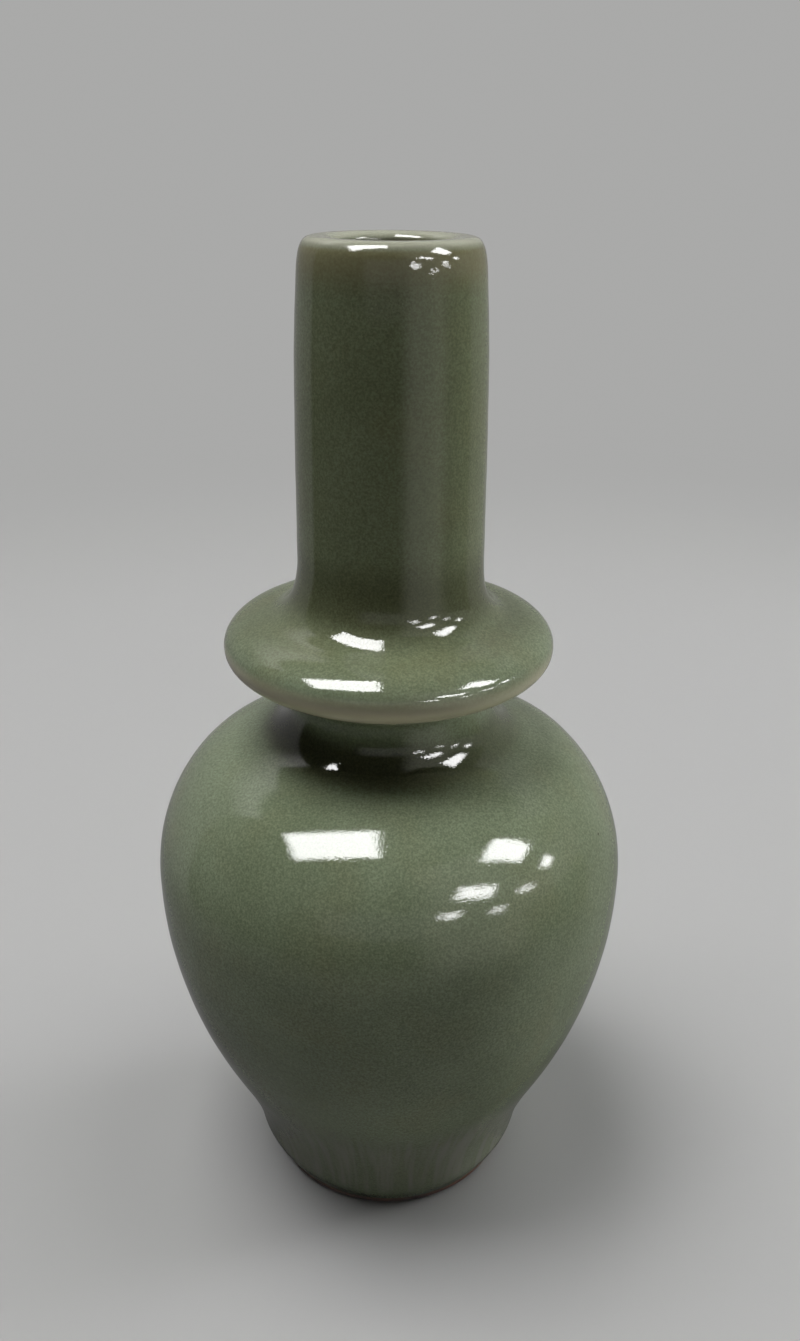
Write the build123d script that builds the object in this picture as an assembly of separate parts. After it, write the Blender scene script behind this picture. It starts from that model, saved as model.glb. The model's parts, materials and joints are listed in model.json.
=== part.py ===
"""Celadon vase with a meiping body, a lens-shaped collar and a tall tubular neck.

Four thrown sections of stoneware are luted rim to rim with slip and glazed inside and out.
Millimetres. Z is the throwing axis and the foot stands on Z = 0.
"""
from build123d import *
import math
import os

# Clay and coats
WALL = 4.2
SLIP = 0.6
GLAZE = 0.5

# Foot ring and floor
FOOT_RADIUS = 26.9
FOOT_INNER_RADIUS = 21.2
RECESS_RADIUS = 20.4
RECESS_DEPTH = 4.0
FLOOR_THICKNESS = 5.0
FLOOR_RADIUS = 18.0
BASE_GLAZE_RADIUS = 19.2
BASE_GLAZE_ROUND = 0.3

# Lower body, measured from the ground
GLAZE_LINE_RADIUS = 27.6
GLAZE_LINE_HEIGHT = 2.0
GLAZE_LINE_HEADING = 62.0
SWELL_RADIUS = 30.3
SWELL_HEIGHT = 8.0
SWELL_HEADING = 80.0
FLANK_RADIUS = 37.4
FLANK_HEIGHT = 28.2
FLANK_HEADING = 64.0
BELLY_RADIUS = 48.65
BELLY_HEIGHT = 74.0

# Upper body, measured from its lower rim; the shoulder and the neck hang below its upper rim
UPPER_BODY_HEIGHT = 39.0
NECK_RADIUS = 20.6
NECK_STRAIGHT = 0.4
NECK_SWEEP = 8.6
SHOULDER_TOP_RADIUS = 27.1
SHOULDER_TOP_HEADING = 161.5
SHOULDER_RISE = 5.75
SHOULDER_RADIUS = 39.1
SHOULDER_HEADING = 135.8
NECK_HEIGHT = UPPER_BODY_HEIGHT - NECK_STRAIGHT
SHOULDER_TOP_HEIGHT = NECK_HEIGHT - NECK_SWEEP
SHOULDER_HEIGHT = SHOULDER_TOP_HEIGHT - SHOULDER_RISE

# Collar, measured from its lower rim; the dome and the tube's foot hang below its upper rim
COLLAR_HEIGHT = 28.8
COLLAR_NECK_HEIGHT = 0.4
UNDERSIDE_RADIUS = 25.0
UNDERSIDE_HEIGHT = 4.1
UNDERSIDE_HEADING = 27.2
NOSE_RADIUS = 32.4
NOSE_HEIGHT = 10.6
DOME_RADIUS = 29.2
DOME_HEADING = 154.0
DOME_RISE = 1.9
DOME_TOP_RADIUS = 22.5
DOME_TOP_HEADING = 154.75
TUBE_RADIUS = 17.9
TUBE_SWEEP = 11.5
TUBE_FOOT_STRAIGHT = 0.4
HOLLOW_RADIUS = 24.6
HOLLOW_HEIGHT = 10.2
TUBE_FOOT_HEIGHT = COLLAR_HEIGHT - TUBE_FOOT_STRAIGHT
DOME_TOP_HEIGHT = TUBE_FOOT_HEIGHT - TUBE_SWEEP
DOME_HEIGHT = DOME_TOP_HEIGHT - DOME_RISE

# Neck tube, measured from its lower rim; the lip and the tube's upper end hang below its rim
TUBE_HEIGHT = 56.0
TUBE_MIDDLE_RADIUS = 17.75
TUBE_MIDDLE_HEIGHT = 18.4
TUBE_MIDDLE_HEADING = 90.5
TUBE_UPPER_RADIUS = 17.1
TUBE_UPPER_HEADING = 93.0
TUBE_UPPER_RISE = 8.0
LIP_RADIUS = 16.3
LIP_HEADING = 99.0
LIP_DROP = 5.1
RIM_RADIUS = 13.8
MOUTH_RADIUS = 10.1
MOUTH_DROP = 1.6
LIP_HEIGHT = TUBE_HEIGHT - LIP_DROP
TUBE_UPPER_HEIGHT = LIP_HEIGHT - TUBE_UPPER_RISE

# Heights of the seams above the ground
UPPER_BASE = BELLY_HEIGHT + SLIP
NECK_SEAM = UPPER_BASE + UPPER_BODY_HEIGHT
COLLAR_BASE = NECK_SEAM + SLIP
TUBE_SEAM = COLLAR_BASE + COLLAR_HEIGHT
TUBE_BASE = TUBE_SEAM + SLIP
RIM_HEIGHT = TUBE_BASE + TUBE_HEIGHT
FLOOR_HEIGHT = RECESS_DEPTH + FLOOR_THICKNESS


def inset(station, depth):
    """A station (radius, height, heading in degrees) moved into the wall, square to the surface."""
    radius, height, heading = station
    turn = math.radians(heading)
    return (radius - depth * math.sin(turn), height + depth * math.cos(turn), heading)


def span(start, end):
    """The round edge between two stations that leaves and arrives along their headings."""
    first = Vector(start[0], 0, start[1])
    last = Vector(end[0], 0, end[1])
    if start[2] == end[2] and start[0] == end[0]:
        return Line(first, last)
    chord = (last - first).length
    turn = math.radians(abs(end[2] - start[2]))
    share = 2 / 3 * math.tan(turn / 4) / math.sin(turn / 2) if turn else 1 / 3
    leave, arrive = (
        Vector(math.cos(math.radians(heading)), 0, math.sin(math.radians(heading))) * share * chord
        for heading in (start[2], end[2])
    )
    return Bezier(first, first + leave, last - arrive, last)


def outline(stations, depth=0.0):
    """The edges through a row of stations, at a depth below the surface they describe."""
    moved = [inset(station, depth) for station in stations]
    return [span(start, end) for start, end in zip(moved, moved[1:])]


def straight(*points):
    """Straight edges through (radius, height) points."""
    return [Line((a[0], 0, a[1]), (b[0], 0, b[1])) for a, b in zip(points, points[1:])]


def turned(edges):
    """The solid that a closed half-section sweeps round the throwing axis."""
    return revolve(make_face(edges), axis=Axis.Z)


def raised(base, *stations):
    """Stations measured from a section's lower rim, lifted to their place above the ground."""
    return [(radius, base + height, heading) for radius, height, heading in stations]


# Finished surface outside, from the edge of the glaze at the foot up over the rim
GLAZE_LINE = (GLAZE_LINE_RADIUS, GLAZE_LINE_HEIGHT, GLAZE_LINE_HEADING)
FLANK = (FLANK_RADIUS, FLANK_HEIGHT, FLANK_HEADING)
LOWER_OUTSIDE = [
    GLAZE_LINE,
    (SWELL_RADIUS, SWELL_HEIGHT, SWELL_HEADING),
    FLANK,
    (BELLY_RADIUS, BELLY_HEIGHT, 90.0),
]
UPPER_OUTSIDE = raised(
    UPPER_BASE,
    (BELLY_RADIUS, 0.0, 90.0),
    (SHOULDER_RADIUS, SHOULDER_HEIGHT, SHOULDER_HEADING),
    (SHOULDER_TOP_RADIUS, SHOULDER_TOP_HEIGHT, SHOULDER_TOP_HEADING),
    (NECK_RADIUS, NECK_HEIGHT, 90.0),
    (NECK_RADIUS, UPPER_BODY_HEIGHT, 90.0),
)
COLLAR_OUTSIDE = raised(
    COLLAR_BASE,
    (NECK_RADIUS, 0.0, 90.0),
    (NECK_RADIUS, COLLAR_NECK_HEIGHT, 90.0),
    (UNDERSIDE_RADIUS, UNDERSIDE_HEIGHT, UNDERSIDE_HEADING),
    (NOSE_RADIUS, NOSE_HEIGHT, 90.0),
    (DOME_RADIUS, DOME_HEIGHT, DOME_HEADING),
    (DOME_TOP_RADIUS, DOME_TOP_HEIGHT, DOME_TOP_HEADING),
    (TUBE_RADIUS, TUBE_FOOT_HEIGHT, 90.0),
    (TUBE_RADIUS, COLLAR_HEIGHT, 90.0),
)
TUBE_OUTSIDE = raised(
    TUBE_BASE,
    (TUBE_RADIUS, 0.0, 90.0),
    (TUBE_MIDDLE_RADIUS, TUBE_MIDDLE_HEIGHT, TUBE_MIDDLE_HEADING),
    (TUBE_UPPER_RADIUS, TUBE_UPPER_HEIGHT, TUBE_UPPER_HEADING),
    (LIP_RADIUS, LIP_HEIGHT, LIP_HEADING),
    (RIM_RADIUS, TUBE_HEIGHT, 180.0),
    (MOUTH_RADIUS, TUBE_HEIGHT - MOUTH_DROP, 270.0),
)

# Clay surface inside, from the middle of the floor up to the mouth
THICKNESS = GLAZE + WALL
LOWER_INSIDE = [
    (0.0, FLOOR_HEIGHT, 0.0),
    (FLOOR_RADIUS, FLOOR_HEIGHT, 0.0),
    inset(FLANK, THICKNESS),
    inset(LOWER_OUTSIDE[-1], THICKNESS),
]
UPPER_INSIDE = [inset(station, THICKNESS) for station in UPPER_OUTSIDE]
COLLAR_INSIDE = [
    inset(COLLAR_OUTSIDE[0], THICKNESS),
    inset(COLLAR_OUTSIDE[2], THICKNESS),
    (HOLLOW_RADIUS, COLLAR_BASE + HOLLOW_HEIGHT, 90.0),
    inset(COLLAR_OUTSIDE[-3], THICKNESS),
    inset(COLLAR_OUTSIDE[-2], THICKNESS),
    inset(COLLAR_OUTSIDE[-1], THICKNESS),
]
TUBE_INSIDE = [inset(station, THICKNESS) for station in TUBE_OUTSIDE[:3]]
TUBE_INSIDE.append((MOUTH_RADIUS + GLAZE, RIM_HEIGHT - MOUTH_DROP, 90.0))


def thrown(outside, inside):
    """A thrown section with flat rims, between its clay surfaces outside and inside."""
    skin = [inset(station, GLAZE) for station in (outside[0], outside[-1])]
    edges = outline(outside, GLAZE) + outline(inside)
    return turned(edges + straight(skin[0], inside[0]) + straight(skin[1], inside[-1]))


def lower_body():
    """Lower half of the body with its floor, foot ring and the recess under it."""
    rim = inset(LOWER_OUTSIDE[-1], GLAZE)
    foot = straight(
        (0.0, FLOOR_HEIGHT),
        (0.0, RECESS_DEPTH),
        (RECESS_RADIUS, RECESS_DEPTH),
        (FOOT_INNER_RADIUS, 0.0),
        (FOOT_RADIUS, 0.0),
        inset(GLAZE_LINE, GLAZE),
    )
    return turned(foot + outline(LOWER_OUTSIDE, GLAZE) + straight(rim, LOWER_INSIDE[-1]) + outline(LOWER_INSIDE))


def neck_tube():
    """Tube with its rolled lip; its two clay surfaces meet at the mouth."""
    skin = inset(TUBE_OUTSIDE[0], GLAZE)
    return turned(outline(TUBE_OUTSIDE, GLAZE) + outline(TUBE_INSIDE) + straight(skin, TUBE_INSIDE[0]))


def slip_seam(outside, inside):
    """Ring of slip on a section's upper rim."""
    outer = inset(outside[-1], GLAZE)[0]
    inner, height, _ = inside[-1]
    corners = [(inner, height), (outer, height), (outer, height + SLIP), (inner, height + SLIP), (inner, height)]
    return turned(straight(*corners))


def outer_glaze():
    """Coat over the whole outside, from above the foot's edge to the mouth."""
    stations = LOWER_OUTSIDE + UPPER_OUTSIDE + COLLAR_OUTSIDE + TUBE_OUTSIDE
    ends = [straight(station, inset(station, GLAZE)) for station in (stations[0], stations[-1])]
    return turned(outline(stations) + outline(stations, GLAZE) + ends[0] + ends[1])


def inner_glaze():
    """Coat over the whole inside, from the floor up to the mouth."""
    stations = LOWER_INSIDE + UPPER_INSIDE + COLLAR_INSIDE + TUBE_INSIDE
    ends = [straight(station, inset(station, GLAZE)) for station in (stations[0], stations[-1])]
    return turned(outline(stations) + outline(stations, GLAZE) + ends[0] + ends[1])


def base_glaze():
    """Round coat on the ceiling of the recess under the foot."""
    disc = Pos(0, 0, RECESS_DEPTH - GLAZE) * Cylinder(
        BASE_GLAZE_RADIUS, GLAZE, align=(Align.CENTER, Align.CENTER, Align.MIN)
    )
    return fillet(disc.edges().filter_by(GeomType.CIRCLE).sort_by(Axis.Z)[0], BASE_GLAZE_ROUND)


PARTS = {
    "lower_body": lower_body(),
    "upper_body": thrown(UPPER_OUTSIDE, UPPER_INSIDE),
    "collar": thrown(COLLAR_OUTSIDE, COLLAR_INSIDE),
    "neck_tube": neck_tube(),
    "belly_slip": slip_seam(LOWER_OUTSIDE, LOWER_INSIDE),
    "neck_slip": slip_seam(UPPER_OUTSIDE, UPPER_INSIDE),
    "tube_slip": slip_seam(COLLAR_OUTSIDE, COLLAR_INSIDE),
    "outer_glaze": outer_glaze(),
    "inner_glaze": inner_glaze(),
    "base_glaze": base_glaze(),
}

os.makedirs("parts", exist_ok=True)
for node, shape in PARTS.items():
    export_step(shape, f"parts/{node}.step")
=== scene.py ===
"""Looks of the celadon vase: turned glaze and clay meshes, procedural materials, camera and light.

The frame is in metres. Stations are in millimetres, as a potter would measure the vase.
Z is the throwing axis and the foot stands on Z = 0.
"""
import json
import math

import bpy
import numpy as np
from mathutils import Matrix, Vector

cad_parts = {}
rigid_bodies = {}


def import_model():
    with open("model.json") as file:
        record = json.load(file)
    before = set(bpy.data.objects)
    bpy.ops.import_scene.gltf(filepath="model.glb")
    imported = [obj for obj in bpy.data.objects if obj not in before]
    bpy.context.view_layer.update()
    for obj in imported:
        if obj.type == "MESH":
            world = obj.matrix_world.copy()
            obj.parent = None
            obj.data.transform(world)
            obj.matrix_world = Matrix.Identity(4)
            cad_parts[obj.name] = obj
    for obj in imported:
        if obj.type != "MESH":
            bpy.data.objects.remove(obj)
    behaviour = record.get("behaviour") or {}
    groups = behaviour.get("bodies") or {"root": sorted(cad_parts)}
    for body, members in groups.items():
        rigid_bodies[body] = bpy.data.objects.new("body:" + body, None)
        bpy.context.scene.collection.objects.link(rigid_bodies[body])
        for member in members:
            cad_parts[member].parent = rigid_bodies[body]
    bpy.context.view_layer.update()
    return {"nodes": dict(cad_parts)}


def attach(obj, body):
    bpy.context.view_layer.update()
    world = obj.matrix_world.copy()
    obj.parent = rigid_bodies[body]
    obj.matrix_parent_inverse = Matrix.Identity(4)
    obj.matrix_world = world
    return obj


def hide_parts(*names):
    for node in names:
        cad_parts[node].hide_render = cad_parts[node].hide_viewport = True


MM = 0.001

# Camera, in the photograph's 800 x 1341 pixels, metres and degrees
IMAGE_HEIGHT = 1341
FOCAL_PIXELS = 1150.0
SENSOR = 36.0
CAMERA_PLACE = (0.00195, -0.2101, 0.2136)
CAMERA_PITCH = 24.55
CAMERA_ROLL = 0.45
CLIP_START = 0.01

# Coats and clay
GLAZE = 0.5
WALL = 4.2
CLEARANCE = 0.04

# Finished outside: radius, height and heading in degrees, from the glaze line at the foot to the mouth
GLAZE_LINE = (27.6, 2.0, 62.0)
SWELL = (30.3, 8.0, 80.0)
FLANK = (37.4, 28.2, 64.0)
BELLY_LOW = (48.65, 74.0, 90.0)
BELLY_HIGH = (48.65, 74.6, 90.0)
SHOULDER = (39.1, 98.85, 135.8)
SHOULDER_TOP = (27.1, 104.6, 161.5)
NECK_ROOT = (23.75, 106.5, 139.2)
NECK_LOW = (20.6, 113.2, 90.0)
NECK_MIDDLE = (20.6, 114.2, 90.0)
NECK_HIGH = (20.6, 114.6, 90.0)
UNDERSIDE = (25.0, 118.3, 27.2)
NOSE = (32.4, 124.8, 90.0)
DOME = (29.2, 129.2, 154.0)
DOME_MIDDLE = (25.0, 130.45, 170.0)
DOME_TOP = (22.5, 131.1, 154.75)
TUBE_FOOT = (17.9, 142.6, 90.0)
TUBE_LOW = (17.9, 143.6, 90.0)
TUBE_MIDDLE = (17.75, 162.0, 90.5)
TUBE_UPPER = (17.1, 186.5, 93.0)
TUBE_TOP = (16.6, 194.8, 94.5)
LIP = (16.3, 196.8, 100.5)
LIP_EDGE = (15.55, 198.7, 122.0)
RIM = (13.2, 199.6, 180.0)
MOUTH = (10.1, 198.0, 270.0)
LOWER_OUTSIDE = [GLAZE_LINE, SWELL, FLANK, BELLY_LOW]
UPPER_OUTSIDE = [BELLY_HIGH, SHOULDER, SHOULDER_TOP, NECK_ROOT, NECK_LOW]
COLLAR_OUTSIDE = [NECK_HIGH, UNDERSIDE, NOSE, DOME, DOME_MIDDLE, DOME_TOP, TUBE_FOOT]
TUBE_OUTSIDE = [TUBE_LOW, TUBE_MIDDLE, TUBE_TOP, LIP, LIP_EDGE, RIM, MOUTH]
OUTSIDE = LOWER_OUTSIDE + UPPER_OUTSIDE + COLLAR_OUTSIDE + TUBE_OUTSIDE

# Clay inside, from the middle of the floor to the mouth
FLOOR = [(0.0, 9.0, 0.0), (18.0, 9.0, 0.0)]
HOLLOW = (24.6, 124.4, 90.0)
MOUTH_CLAY = (10.6, 198.0, 90.0)

# Bare foot under the glaze line, from the middle of the recess outward, with its edges rubbed round
FOOT = [
    (0.0, 4.0, 0.0),
    (19.8, 4.0, 0.0),
    (20.5, 3.4, -78.0),
    (21.05, 0.6, -78.0),
    (21.7, 0.0, 0.0),
    (26.4, 0.0, 0.0),
    (26.92, 0.5, 84.0),
]
BASE_COAT = [(0.0, 3.5, 0.0), (18.9, 3.5, 0.0), (19.2, 3.75, 90.0), (19.2, 3.96, 90.0)]

# Mesh fineness: steps along the outline in millimetres, and the turn in radians for each millimetre of step
SEGMENTS = 240
ROW_STEP = 1.2
INSIDE_STEP = 2.0
HIDDEN_STEP = 5.0
TURN_STEP = 0.05
ON_AXIS = 1e-6

# Angles in degrees: between the points of a rounded end, and from which on an edge is sharp
END_STEP = 10
SHARP_ANGLE = 12.0

# Throwing rings by size, length and phase, and glaze runs by count, size and phase, in millimetres
OVAL = 0.04
RINGS = [(0.02, 3.1, 0.0), (0.008, 1.1, 1.3)]
RUNS = [(23, 0.010, 0.4), (37, 0.009, 2.1), (53, 0.007, 4.4), (67, 0.005, 1.2)]
RUNS_FULL = 20.0
RUNS_TOP = 38.0

# Lean by height and way to the right, and a finger's groove with its ends in degrees round the axis
LEAN = [(96.0, 0.0), (105.5, 0.35), (109.0, 0.35), (119.0, -0.3), (131.0, -0.3), (142.0, 0.0)]
GROOVE_DEPTH = 0.4
GROOVE_REACH = 1.0
GROOVE_ENDS = (240.0, 248.0, 272.0, 284.0)

# Colours of the glaze, the clay and the slip
CELADON = (0.215, 0.260, 0.166)
CELADON_DEEP = (0.172, 0.210, 0.127)
OLIVE = (0.206, 0.220, 0.124)
# Pale thin glaze of the collar's edge, made paler still as painted light that stands in for light from
# below
THIN_GLAZE_AND_LIGHT = (0.570, 0.530, 0.385)
RIM_GLAZE = (0.550, 0.540, 0.450)
BROWN_GLAZE = (0.200, 0.165, 0.085)
STREAK = (0.270, 0.270, 0.235)
# Darker tone from the collar's dome to the mouth
DOME_TUBE_DARK = (0.111, 0.117, 0.055)
# Pooled glaze, darkened further as painted shade in the neck's crease and at the tube's foot
POOL_AND_SHADE = (0.065, 0.070, 0.032)
IRON = (0.030, 0.022, 0.012)
CLAY = (0.115, 0.050, 0.030)
CLAY_DARK = (0.050, 0.022, 0.015)
SLIP = (0.170, 0.110, 0.080)

# Bands of the glaze: heights in millimetres where each starts, is full, starts to fade and ends
FOOT_BAND = (2.0, 10.0, 21.0, 36.0)
# Neck's crease: pooled glaze, darkened further as painted shade under the collar
NECK_SHADE_BAND = (104.0, 106.4, 109.0, 113.0)
# Collar's edge: pale thin glaze, brightened as painted light
NOSE_BAND = (115.5, 119.0, 123.4, 126.8)
# Tube's foot: pooled glaze, with painted shade where the tube shades the dome
TUBE_POOL_AND_SHADE = (131.0, 136.0, 139.0, 148.0)
BROWN_BAND = (190.0, 196.5, 197.8, 198.8)
DOME_TUBE_RISE = (126.5, 131.0)
RIM_RISE = (197.8, 199.2)

# Between these sides, in millimetres, the painted shade at the neck and the collar's pale edge fade to a
# smaller share on the right, where the side lamps light
PAINTED_SIDE = (-4.0, 24.0)
PAINTED_RIGHT = 0.6

# How strongly each band or pattern shows
# The first two set how dark the painted shade is in the neck's crease and at the tube's foot
NECK_SHADE_SHARE = 0.92
TUBE_POOL_AND_SHADE_SHARE = 0.68
DOME_TUBE_SHARE = 0.45
BROWN_SHARE = 0.5
RIM_SHARE = 0.5
OLIVE_SHARE = 0.4
GRAIN_SHARE = 0.18
PEEL_SHARE = 0.17
STREAK_SHARES = (0.25, 0.85)
SPECK_SHARE = 0.8

# Patterns: noise scale, detail and roughness, and the values of the noise between which each pattern rises
CLOUD_NOISE = (42.0, 3.0, 0.5)
CLOUD_RANGE = (0.3, 0.7)
OLIVE_NOISE = (75.0, 2.0, 0.5)
OLIVE_RANGE = (0.45, 0.75)
GRAIN_NOISE = (1500.0, 2.0, 0.6)
GRAIN_RANGE = (0.35, 0.65)
PEEL_NOISE = (2600.0, 1.0, 0.5)
PEEL_RANGE = (0.3, 0.7)
STREAK_NOISE = (18.0, 2.0, 0.5)
STREAK_RANGE = (0.36, 0.66)
STREAK_PITCH = 2.2
SPECK_SCALE = 70.0
SPECK_CHOICE = (0.80, 0.82)
SPECK_EDGE = (0.012, 0.028)
CLAY_NOISE = (900.0, 4.0, 0.65)
CLAY_RANGE = (0.3, 0.7)
PATCH_NOISE = (120.0, 2.0, 0.5)
PATCH_RANGE = (0.6, 1.0)
PATCH_GRAIN = 0.6

# Gloss and fine relief, the relief in metres
GLAZE_ROUGHNESS = (0.018, 0.042)
GLAZE_IOR = 1.55
PEEL_BUMP = (0.5, 0.00003)
CLAY_ROUGHNESS = (0.72, 0.9)
CLAY_BUMP = (0.4, 0.0001)

# Floor: size and fades in metres
FLOOR_SIZE = 3.0
FLOOR_FADE = (0.33, 0.70)
GLOSS_FADE = (0.16, 0.32)
FLOOR_COLOR = (0.40, 0.40, 0.395)
FLOOR_GLOSS = (0.15, 0.15, 0.147)
FLOOR_ROUGHNESS = 0.9
FLOOR_SPECULAR = 0.2
BACKGROUND = (0.40, 0.40, 0.395)

# Light that the floor sends back to the vase, left and right of it
BOUNCE_LEFT = (0.085, 0.084, 0.077)
BOUNCE_RIGHT = (0.43, 0.425, 0.39)
BOUNCE_SIDE = (-0.15, 0.15)

# Room that shows in the gloss
WALL_LIGHT = (0.26, 0.258, 0.252)
WALL_TOP_LIGHT = (1.10, 1.09, 1.07)
ROOM_LIGHT = (0.02, 0.02, 0.019)
LOW_ROOM = (0.32, 0.32, 0.31)
BRIGHT_ROOM = (0.62, 0.63, 0.53)
SOFT_ROOM = (0.01, 0.01, 0.01)

# Edges of that room: heights and turns in degrees, sides as the level direction's X
WALL_EDGE = 74.0
WALL_TOP = 47.5
WALL_GLOW = (29.0, 46.0)
GLOW_SIDE = (-0.5, 0.0)
GLOW_RIGHT = 0.15
LOW_EDGES = (-1.0, 2.0, 14.0, 24.0)
LOW_SIDE = (-0.65, -0.4)
BRIGHT_EDGES = (174.0, 150.0, 125.0, 100.0)
BRIGHT_END = 0.1
EDGE_BLUR = 0.02
HORIZON = 0.03

# Soft boxes that light the vase: place and width in metres, and how much of full light each gives
SOFT_BOXES = [
    ("soft_left", (-0.44, 0.0, 1.54), 0.86, 0.88),
    ("soft_right", (0.67, 0.12, 1.45), 0.86, 0.32),
    ("soft_side", (1.39, 0.42, 0.28), 0.42, 0.60),
]

# Ceiling panels that show in the gloss: corners as shares of the ceiling's height, far side first
CEILING = 6.0
PANEL_LIGHT = 18.0
PANEL_ECHO = 2.5
ECHO_STEP = (1.2, 1.8)
PANELS = [
    [(-0.77, -0.08), (-0.06, 0.10), (-0.07, -0.57), (-1.01, -0.66)],
    [(0.84, -0.19), (1.85, -0.22), (2.02, -0.63), (0.99, -0.68)],
    [(3.20, -0.27), (4.28, -0.12), (4.82, -0.48), (3.71, -0.68)],
    [(1.12, -1.43), (2.05, -1.44), (2.45, -2.10), (1.20, -1.95)],
    [(4.07, -1.79), (5.95, -1.74), (6.22, -2.25), (4.15, -2.18)],
    [(1.54, -3.40), (2.36, -3.34), (2.62, -4.44), (1.52, -3.89)],
    [(5.12, -4.40), (6.65, -4.42), (8.00, -6.20), (5.58, -5.39)],
]

# Sockets of a colour mix: its share, first and second colour, and its result
MIX_INPUTS = (0, 6, 7)
MIX_RESULT = 2


def inset(station, depth):
    """A station moved into the wall, square to the surface."""
    radius, height, heading = station
    turn = math.radians(heading)
    return (radius - depth * math.sin(turn), height + depth * math.cos(turn), heading)


def span(start, end, step):
    """Points (radius, height) of the round edge between two stations, without its last point."""
    first, last = np.array(start[:2]), np.array(end[:2])
    chord = np.linalg.norm(last - first)
    turn = math.radians(abs(end[2] - start[2]))
    share = 2 / 3 * math.tan(turn / 4) / math.sin(turn / 2) if turn else 1 / 3
    leave, arrive = (
        share * chord * np.array([math.cos(math.radians(heading)), math.sin(math.radians(heading))])
        for heading in (start[2], end[2])
    )
    count = max(1, math.ceil(chord / step), math.ceil(turn / (TURN_STEP * step)))
    t = np.linspace(0, 1, count, endpoint=False)[:, None]
    s = 1 - t
    return s**3 * first + 3 * s**2 * t * (first + leave) + 3 * s * t**2 * (last - arrive) + t**3 * last


def outline(stations, depth=0.0, step=ROW_STEP):
    """Points through a row of stations, at a depth below the surface they describe."""
    moved = [inset(station, depth) for station in stations]
    spans = [span(start, end, step) for start, end in zip(moved, moved[1:])]
    return np.vstack(spans + [np.array([moved[-1][:2]])])


def smooth(value, low, high):
    """0 below low, 1 above high and a smooth ramp between."""
    t = min(1.0, max(0.0, (value - low) / (high - low)))
    return t * t * (3 - 2 * t)


def even(height, angles):
    """No relief, for a surface that is left plain."""
    return 0 * angles


def groove(height, angles):
    """Depth of a short groove that a finger left in the front of the neck's root, in millimetres."""
    profile = max(0.0, 1 - abs(height - NECK_ROOT[1]) / GROOVE_REACH)
    ends = np.interp(np.degrees(angles), GROOVE_ENDS, (0.0, 1.0, 1.0, 0.0))
    return GROOVE_DEPTH * profile * ends


def handmade(height, angles):
    """Throwing rings, a slightly oval form, the groove and glaze runs, in millimetres, never proud."""
    rings = sum(size * (math.sin(height / length + phase) - 1) for size, length, phase in RINGS)
    runs = sum(size * (np.cos(count * angles + phase) - 1) for count, size, phase in RUNS)
    fade = 1 - smooth(height, RUNS_FULL, RUNS_TOP)
    return rings + OVAL * (np.cos(2 * angles) - 1) + fade * runs - groove(height, angles)


def lean(height):
    """How far the finished surface stands to the right of the axis, in millimetres."""
    steps = zip(LEAN, LEAN[1:])
    return sum((after - before) * smooth(height, low, high) for (low, before), (high, after) in steps)


def turned(name, section, relief=even, shown=0):
    """A closed mesh swept round the axis from a loop of points, the first of which are shown and lean."""
    angles = np.linspace(0, 2 * math.pi, SEGMENTS, endpoint=False)
    verts, rings = [], []
    for count, (radius, height) in enumerate(section):
        start = len(verts)
        if radius < ON_AXIS:
            verts.append((0.0, 0.0, height * MM))
            rings.append([start] * SEGMENTS)
        else:
            seen = count < shown
            radii = (radius + seen * relief(height, angles)) * MM
            aside = seen * lean(height) * MM
            across, deep = radii * np.cos(angles) + aside, radii * np.sin(angles)
            verts.extend(zip(across, deep, np.full(SEGMENTS, height * MM)))
            rings.append(list(range(start, start + SEGMENTS)))
    faces = []
    for low, high in zip(rings, rings[1:] + rings[:1]):
        for i in range(SEGMENTS):
            j = (i + 1) % SEGMENTS
            corners = list(dict.fromkeys((low[i], low[j], high[j], high[i])))
            if len(corners) > 2:
                faces.append(corners)
    mesh = bpy.data.meshes.new(name)
    mesh.from_pydata(verts, [], faces)
    mesh.shade_smooth()
    mesh.set_sharp_from_angle(angle=math.radians(SHARP_ANGLE))
    piece = bpy.data.objects.new(name, mesh)
    bpy.context.scene.collection.objects.link(piece)
    return piece


def dress(piece, material, slot, *nodes):
    """Gives a piece its material and its body, and hides the solids that it stands for; the slot is not
    used.
    """
    piece.data.materials.append(material)
    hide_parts(*nodes)
    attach(piece, "root")


def rounded_end(station):
    """Points of the half-round edge of a coat below a station, from the clay out to the surface."""
    radius, height, heading = inset(station, GLAZE / 2)
    middle = np.array([radius, height])
    turn = math.radians(heading)
    along = np.array([math.cos(turn), math.sin(turn)])
    out = np.array([math.sin(turn), -math.cos(turn)])
    half = GLAZE / 2 - CLEARANCE
    sweep = np.radians(np.arange(-90, 90, END_STEP))
    return np.array([middle + half * (math.sin(a) * out - math.cos(a) * along) for a in sweep])


def outer_coat():
    """Glaze over the outside, from its line at the foot into the mouth."""
    shown = np.vstack([rounded_end(GLAZE_LINE), outline(OUTSIDE)])
    hidden = outline(OUTSIDE, GLAZE - CLEARANCE, HIDDEN_STEP)[::-1]
    return turned("outer_coat", np.vstack([shown, hidden]), handmade, len(shown))


def inner_coat():
    """Glaze over the inside, from the floor to the mouth."""
    thickness = GLAZE + WALL
    walls = [FLANK, BELLY_LOW, BELLY_HIGH, SHOULDER, SHOULDER_TOP, NECK_LOW, NECK_MIDDLE, UNDERSIDE]
    tube = [DOME_TOP, TUBE_FOOT, TUBE_LOW, TUBE_MIDDLE, TUBE_UPPER]
    stations = FLOOR + [inset(s, thickness) for s in walls] + [HOLLOW]
    stations += [inset(s, thickness) for s in tube] + [MOUTH_CLAY]
    hidden = outline(stations, CLEARANCE, HIDDEN_STEP)
    shown = outline(stations, GLAZE, INSIDE_STEP)[::-1]
    return turned("inner_coat", np.vstack([hidden, shown]))


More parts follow.
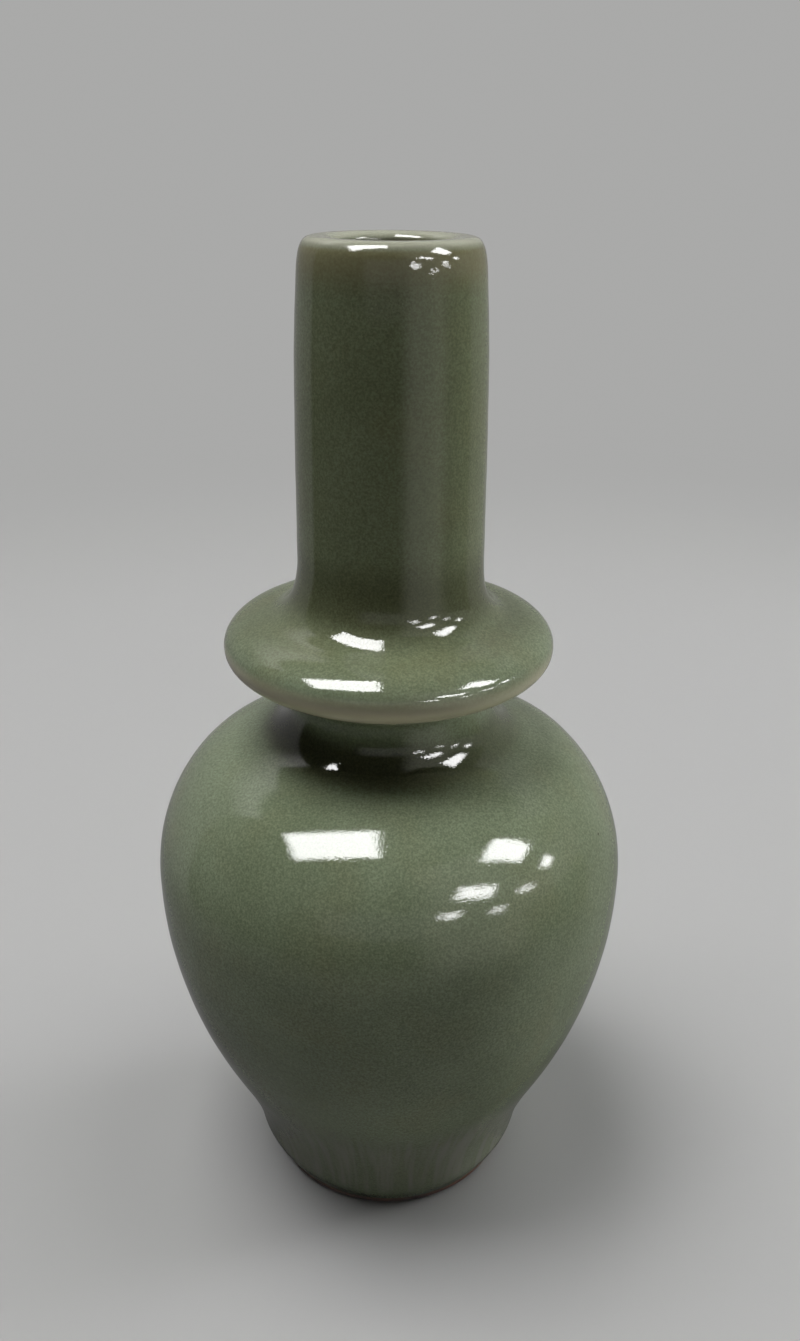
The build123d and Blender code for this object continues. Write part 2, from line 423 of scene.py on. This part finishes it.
def foot_clay():
    """Clay of the lower body, bare at the foot."""
    thickness = GLAZE + WALL
    outside = outline(FOOT + [inset(s, GLAZE) for s in LOWER_OUTSIDE])
    inside = outline(FLOOR + [inset(s, thickness) for s in (FLANK, BELLY_LOW)], 0.0, HIDDEN_STEP)[::-1]
    return turned("foot_clay", np.vstack([outside, inside]))


def base_coat():
    """Glaze on the ceiling of the recess under the foot."""
    return turned("base_coat", np.vstack([outline(BASE_COAT), [(0.0, BASE_COAT[-1][1])]]))


def add(tree, kind, sockets=(), **settings):
    """A shader node with its settings, and its sockets linked or filled in."""
    node = tree.nodes.new("ShaderNode" + kind)
    for key, value in settings.items():
        setattr(node, key, value)
    for socket, value in dict(sockets).items():
        if isinstance(value, bpy.types.NodeSocket):
            tree.links.new(value, node.inputs[socket])
        else:
            node.inputs[socket].default_value = value
    return node


def new_material(name):
    """An empty material's tree, its surface shader and the object-space position."""
    material = bpy.data.materials.new(name)
    material.use_nodes = True
    tree = material.node_tree
    shader = tree.nodes["Principled BSDF"]
    place = tree.nodes.new("ShaderNodeTexCoord").outputs["Object"]
    return material, tree, shader, place


def axes(tree, place, names):
    """The named coordinates of a place."""
    parts = add(tree, "SeparateXYZ", {"Vector": place}).outputs
    return [parts[name] for name in names]


def vector_node(tree, operation, *values):
    """A vector worked out from one or two others."""
    return add(tree, "VectorMath", dict(enumerate(values)), operation=operation).outputs["Vector"]


def compass(tree, place):
    """The level direction of a place, of length one."""
    return vector_node(tree, "NORMALIZE", vector_node(tree, "MULTIPLY", place, (1.0, 1.0, 0.0)))


def math_node(tree, operation, first, second):
    """A number worked out from two others."""
    return add(tree, "Math", {0: first, 1: second}, operation=operation).outputs["Value"]


def times(tree, first, second):
    """The product of two numbers."""
    return math_node(tree, "MULTIPLY", first, second)


def noise(tree, place, scale, detail, roughness):
    """A smooth random pattern."""
    sockets = {"Vector": place, "Scale": scale, "Detail": detail, "Roughness": roughness}
    return add(tree, "TexNoise", sockets).outputs["Fac"]


def ramp(tree, value, low, high, start=0.0, end=1.0):
    """A smooth ramp of a value from start at low to end at high."""
    sockets = {"Value": value, "From Min": low, "From Max": high, "To Min": start, "To Max": end}
    return add(tree, "MapRange", sockets, interpolation_type="SMOOTHSTEP").outputs["Result"]


def hill(tree, value, edges, end=0.0):
    """A mask that rises between the first two edges and falls between the last two."""
    rise = ramp(tree, value, *edges[:2])
    fall = ramp(tree, value, *edges[2:], 1.0, end)
    return times(tree, rise, fall)


def in_metres(lengths):
    """Lengths that are given in millimetres."""
    return [length * MM for length in lengths]


def mix(tree, share, first, second, blend="MIX"):
    """A colour between two, by a share."""
    sources = (first, second)
    colors = [c if isinstance(c, bpy.types.NodeSocket) else (*c, 1.0) for c in sources]
    sockets = dict(zip(MIX_INPUTS, (share, *colors)))
    return add(tree, "Mix", sockets, data_type="RGBA", blend_type=blend).outputs[MIX_RESULT]


def roughen(tree, shader, height, strength, distance):
    """Gives a shader a fine relief."""
    bump = add(tree, "Bump", {"Height": height, "Strength": strength, "Distance": distance})
    tree.links.new(bump.outputs["Normal"], shader.inputs["Normal"])


def specks(tree, place):
    """A mask of a few tiny iron specks."""
    cells = add(tree, "TexVoronoi", {"Vector": place, "Scale": SPECK_SCALE})
    lot = add(tree, "SeparateColor", {"Color": cells.outputs["Color"]}).outputs["Red"]
    spot = ramp(tree, cells.outputs["Distance"], *SPECK_EDGE, SPECK_SHARE, 0.0)
    return times(tree, spot, ramp(tree, lot, *SPECK_CHOICE))


def pools_and_shade(tree, height, painted_side_share):
    """A mask of glaze pooled at the tube's foot and round the neck, deepened into painted shade; round the
    neck it fades towards the right.
    """
    tube = times(tree, hill(tree, height, in_metres(TUBE_POOL_AND_SHADE)), TUBE_POOL_AND_SHADE_SHARE)
    neck = times(tree, hill(tree, height, in_metres(NECK_SHADE_BAND)), times(tree, painted_side_share, NECK_SHADE_SHARE))
    return math_node(tree, "MAXIMUM", tube, neck)


def foot_streaks(tree, place, height):
    """A mask of pale runs above the foot, that change fast round the axis and slowly along it."""
    along = vector_node(tree, "MULTIPLY", place, (0.0, 0.0, STREAK_PITCH))
    meridian = vector_node(tree, "ADD", compass(tree, place), along)
    streak = ramp(tree, noise(tree, meridian, *STREAK_NOISE), *STREAK_RANGE, *STREAK_SHARES)
    return times(tree, hill(tree, height, in_metres(FOOT_BAND)), streak)


def celadon():
    """Glossy grey-green glaze: cloudy, finely grained, pale where thin, and dark olive where it pools,
    deepened there into painted shade in the neck's crease and at the tube's foot; the collar's pale edge is
    partly painted light.
    """
    material, tree, shader, place = new_material("celadon")
    across, height = axes(tree, place, "XZ")
    # Share of the painted shade at the neck and of the collar's pale edge, smaller on the right where the
    # side lamps light
    painted_side_share = ramp(tree, across, *in_metres(PAINTED_SIDE), 1.0, PAINTED_RIGHT)
    cloud = ramp(tree, noise(tree, place, *CLOUD_NOISE), *CLOUD_RANGE)
    drift = ramp(tree, noise(tree, place, *OLIVE_NOISE), *OLIVE_RANGE, 0.0, OLIVE_SHARE)
    grain = ramp(tree, noise(tree, place, *GRAIN_NOISE), *GRAIN_RANGE)
    peel = noise(tree, place, *PEEL_NOISE)
    # Darker from the collar's dome to the mouth
    dome_tube_dark = ramp(tree, height, *in_metres(DOME_TUBE_RISE), 0.0, DOME_TUBE_SHARE)
    # Pale thin glaze at the collar's edge, brightened as painted light
    thin_and_lit = times(tree, hill(tree, height, in_metres(NOSE_BAND)), painted_side_share)
    brown = times(tree, hill(tree, height, in_metres(BROWN_BAND)), BROWN_SHARE)
    rim = ramp(tree, height, *in_metres(RIM_RISE), 0.0, RIM_SHARE)
    color = mix(tree, cloud, CELADON_DEEP, CELADON)
    color = mix(tree, drift, color, OLIVE)
    color = mix(tree, dome_tube_dark, color, DOME_TUBE_DARK)
    # Painted shade in the neck's crease and at the tube's foot, over pooled glaze
    color = mix(tree, pools_and_shade(tree, height, painted_side_share), color, POOL_AND_SHADE)
    color = mix(tree, times(tree, grain, GRAIN_SHARE), color, IRON)
    color = mix(tree, PEEL_SHARE, color, ramp(tree, peel, *PEEL_RANGE), "SOFT_LIGHT")
    color = mix(tree, thin_and_lit, color, THIN_GLAZE_AND_LIGHT)
    color = mix(tree, brown, color, BROWN_GLAZE)
    color = mix(tree, rim, color, RIM_GLAZE)
    color = mix(tree, foot_streaks(tree, place, height), color, STREAK)
    color = mix(tree, specks(tree, place), color, IRON)
    tree.links.new(color, shader.inputs["Base Color"])
    tree.links.new(ramp(tree, grain, 0.0, 1.0, *GLAZE_ROUGHNESS), shader.inputs["Roughness"])
    shader.inputs["IOR"].default_value = GLAZE_IOR
    roughen(tree, shader, peel, *PEEL_BUMP)
    return material


def bare_clay(name, color, dark):
    """Matt iron-bearing stoneware with grain."""
    material, tree, shader, place = new_material(name)
    grain = noise(tree, place, *CLAY_NOISE)
    patch = noise(tree, place, *PATCH_NOISE)
    share = ramp(tree, math_node(tree, "ADD", times(tree, grain, PATCH_GRAIN), patch), *PATCH_RANGE)
    tree.links.new(mix(tree, share, dark, color), shader.inputs["Base Color"])
    tree.links.new(ramp(tree, grain, *CLAY_RANGE, *CLAY_ROUGHNESS), shader.inputs["Roughness"])
    roughen(tree, shader, grain, *CLAY_BUMP)
    return material


def floor_material():
    """Plain pale floor that fades into the background away from the vase."""
    material, tree, shader, place = new_material("floor")
    path = tree.nodes.new("ShaderNodeLightPath").outputs
    (across,) = axes(tree, place, "X")
    bounce = mix(tree, ramp(tree, across, *BOUNCE_SIDE), BOUNCE_LEFT, BOUNCE_RIGHT)
    unseen = mix(tree, path["Is Glossy Ray"], bounce, FLOOR_GLOSS)
    color = mix(tree, path["Is Camera Ray"], unseen, FLOOR_COLOR)
    tree.links.new(color, shader.inputs["Base Color"])
    shader.inputs["Roughness"].default_value = FLOOR_ROUGHNESS
    shader.inputs["Specular IOR Level"].default_value = FLOOR_SPECULAR
    away = add(tree, "VectorMath", {0: place}, operation="LENGTH").outputs["Value"]
    gloss = times(tree, path["Is Glossy Ray"], ramp(tree, away, *GLOSS_FADE))
    share = math_node(tree, "MAXIMUM", ramp(tree, away, *FLOOR_FADE), gloss)
    clear = tree.nodes.new("ShaderNodeBsdfTransparent").outputs["BSDF"]
    distant = add(tree, "Emission", {"Color": (*BACKGROUND, 1.0)}).outputs["Emission"]
    beyond = add(tree, "MixShader", {0: path["Is Camera Ray"], 1: clear, 2: distant}).outputs["Shader"]
    faded = add(tree, "MixShader", {0: share, 1: shader.outputs["BSDF"], 2: beyond})
    tree.links.new(faded.outputs["Shader"], tree.nodes["Material Output"].inputs["Surface"])
    return material


def stage_quad(name, corners, material):
    """A flat piece of the stage between four corners."""
    mesh = bpy.data.meshes.new(name)
    mesh.from_pydata(corners, [], [(0, 1, 2, 3)])
    mesh.materials.append(material)
    quad = bpy.data.objects.new(name, mesh)
    bpy.context.scene.collection.objects.link(quad)
    return quad


def make_floor():
    """A level floor under the vase."""
    half = FLOOR_SIZE / 2
    corners = [(-half, -half, 0), (half, -half, 0), (half, half, 0), (-half, half, 0)]
    stage_quad("floor", corners, floor_material())


def make_camera():
    """The camera at the photograph's place, angle and width of view."""
    data = bpy.data.cameras.new("camera")
    data.sensor_width = SENSOR
    data.lens = FOCAL_PIXELS / IMAGE_HEIGHT * SENSOR
    data.clip_start = CLIP_START
    camera = bpy.data.objects.new("camera", data)
    bpy.context.scene.collection.objects.link(camera)
    camera.matrix_world = (
        Matrix.Translation(CAMERA_PLACE)
        @ Matrix.Rotation(math.radians(90 - CAMERA_PITCH), 4, "X")
        @ Matrix.Rotation(math.radians(CAMERA_ROLL), 4, "Z")
    )
    bpy.context.scene.camera = camera


def make_lights():
    """Soft boxes that light the vase without showing in its gloss."""
    for name, place, width, share in SOFT_BOXES:
        away = Vector(place)
        data = bpy.data.lights.new(name, "AREA")
        data.size = width
        data.energy = share * math.pi**2 * away.length_squared
        lamp = bpy.data.objects.new(name, data)
        bpy.context.scene.collection.objects.link(lamp)
        lamp.location = place
        lamp.rotation_euler = away.to_track_quat("Z", "Y").to_euler()
        lamp.visible_glossy = False


def make_panels():
    """Ceiling panels that show only in the gloss, and faintly in a reflection of a reflection."""
    material = bpy.data.materials.new("panel")
    material.use_nodes = True
    tree = material.node_tree
    bounces = tree.nodes.new("ShaderNodeLightPath").outputs["Glossy Depth"]
    glow = add(tree, "Emission", {"Strength": ramp(tree, bounces, *ECHO_STEP, PANEL_LIGHT, PANEL_ECHO)})
    tree.links.new(glow.outputs["Emission"], tree.nodes["Material Output"].inputs["Surface"])
    for count, corners in enumerate(PANELS):
        raised = [(x * CEILING, y * CEILING, CEILING) for x, y in corners]
        panel = stage_quad(f"panel_{count}", raised, material)
        panel.visible_camera = False
        panel.visible_diffuse = False
        panel.visible_shadow = False


def sines(angles):
    """The sines of angles in degrees."""
    return [math.sin(math.radians(angle)) for angle in angles]


def make_world():
    """A pale wall behind the vase, brightest at its top left, in a room that is dim but for its right."""
    world = bpy.data.worlds.new("studio")
    bpy.context.scene.world = world
    world.use_nodes = True
    tree = world.node_tree
    direction = tree.nodes.new("ShaderNodeTexCoord").outputs["Generated"]
    (height,) = axes(tree, direction, "Z")
    across, back = axes(tree, compass(tree, direction), "XY")
    edge = math.cos(math.radians(WALL_EDGE))
    top = math.sin(math.radians(WALL_TOP))
    low = ramp(tree, height, top - EDGE_BLUR, top + EDGE_BLUR, 1.0, 0.0)
    behind = ramp(tree, back, edge - EDGE_BLUR, edge + EDGE_BLUR)
    rise = ramp(tree, height, *sines(WALL_GLOW))
    glow = times(tree, rise, ramp(tree, across, *GLOW_SIDE, 1.0, GLOW_RIGHT))
    wall = mix(tree, glow, WALL_LIGHT, WALL_TOP_LIGHT)
    shelf = times(tree, hill(tree, height, sines(LOW_EDGES)), ramp(tree, across, *LOW_SIDE))
    bright = hill(tree, across, sines(BRIGHT_EDGES), BRIGHT_END)
    room = mix(tree, bright, mix(tree, shelf, ROOM_LIGHT, LOW_ROOM), BRIGHT_ROOM)
    around = mix(tree, low, ROOM_LIGHT, mix(tree, behind, room, wall))
    ground = mix(tree, ramp(tree, across, -1.0, 1.0), BOUNCE_LEFT, BOUNCE_RIGHT)
    soft = mix(tree, ramp(tree, height, -HORIZON, HORIZON), ground, SOFT_ROOM)
    path = tree.nodes.new("ShaderNodeLightPath").outputs
    unseen = mix(tree, path["Is Glossy Ray"], soft, around)
    color = mix(tree, path["Is Camera Ray"], unseen, BACKGROUND)
    tree.links.new(color, tree.nodes["Background"].inputs["Color"])


bpy.data.batch_remove(list(bpy.data.objects))
bpy.context.scene.view_settings.view_transform = "Standard"
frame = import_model()
make_camera()
make_floor()
make_lights()
make_panels()
make_world()

glaze = celadon()
clay = bare_clay("clay", CLAY, CLAY_DARK)
slip = bare_clay("slip", SLIP, CLAY)
dress(outer_coat(), glaze, "celadon_glaze", "outer_glaze")
dress(inner_coat(), glaze, "celadon_glaze", "inner_glaze")
dress(base_coat(), glaze, "celadon_glaze", "base_glaze")
dress(foot_clay(), clay, "clay", "lower_body")
for node, material in {
    "upper_body": clay,
    "collar": clay,
    "neck_tube": clay,
    "belly_slip": slip,
    "neck_slip": slip,
    "tube_slip": slip,
}.items():
    frame["nodes"][node].data.materials.clear()
    frame["nodes"][node].data.materials.append(material)
